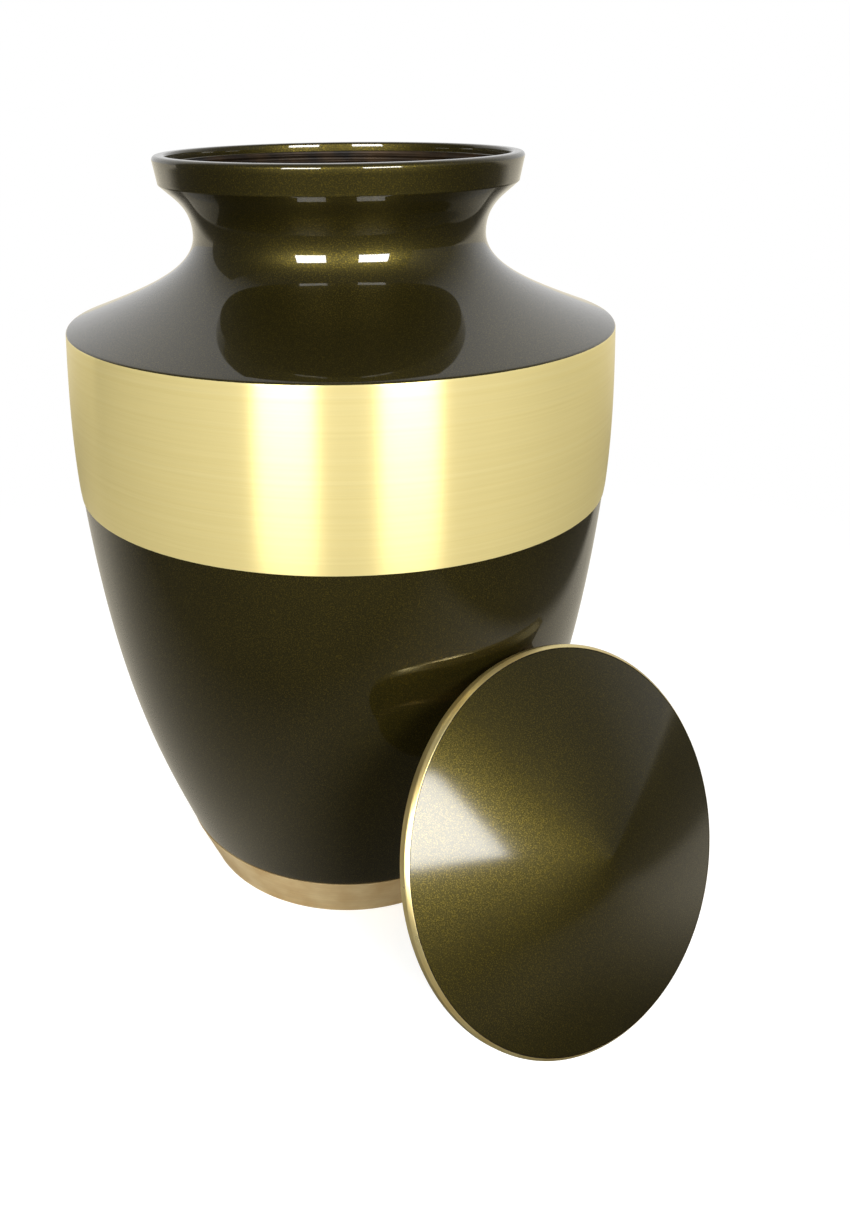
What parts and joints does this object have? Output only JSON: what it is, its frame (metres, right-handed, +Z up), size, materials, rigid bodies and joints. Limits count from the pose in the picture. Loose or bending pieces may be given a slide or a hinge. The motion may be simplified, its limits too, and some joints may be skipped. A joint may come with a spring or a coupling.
{
  "type": "cremation urn",
  "caption": "Turned brass cremation urn with a lacquered body, a bare brushed band and foot, and a screw lid leaning against it.",
  "frame": {"origin": "centre of the underside of the foot, on the surface that the urn stands on", "axes": "+Z up along the vessel's own axis; the lid leans at the front, toward -Y and +X"},
  "size_m": [0.1916, 0.2031, 0.23],
  "materials": {
    "lacquer": "clear-coated dark bronze-olive metallic lacquer on brass",
    "lid_lacquer": "clear-coated dark bronze-olive metallic lacquer on brass",
    "brushed_brass": "lathe-brushed brass under clear lacquer",
    "turned_brass": "plain turned brass, satin"
  },
  "bodies": {
    "root": {"urn_body": "lacquer", "lid": "lid_lacquer"}
  },
  "joints": []
}
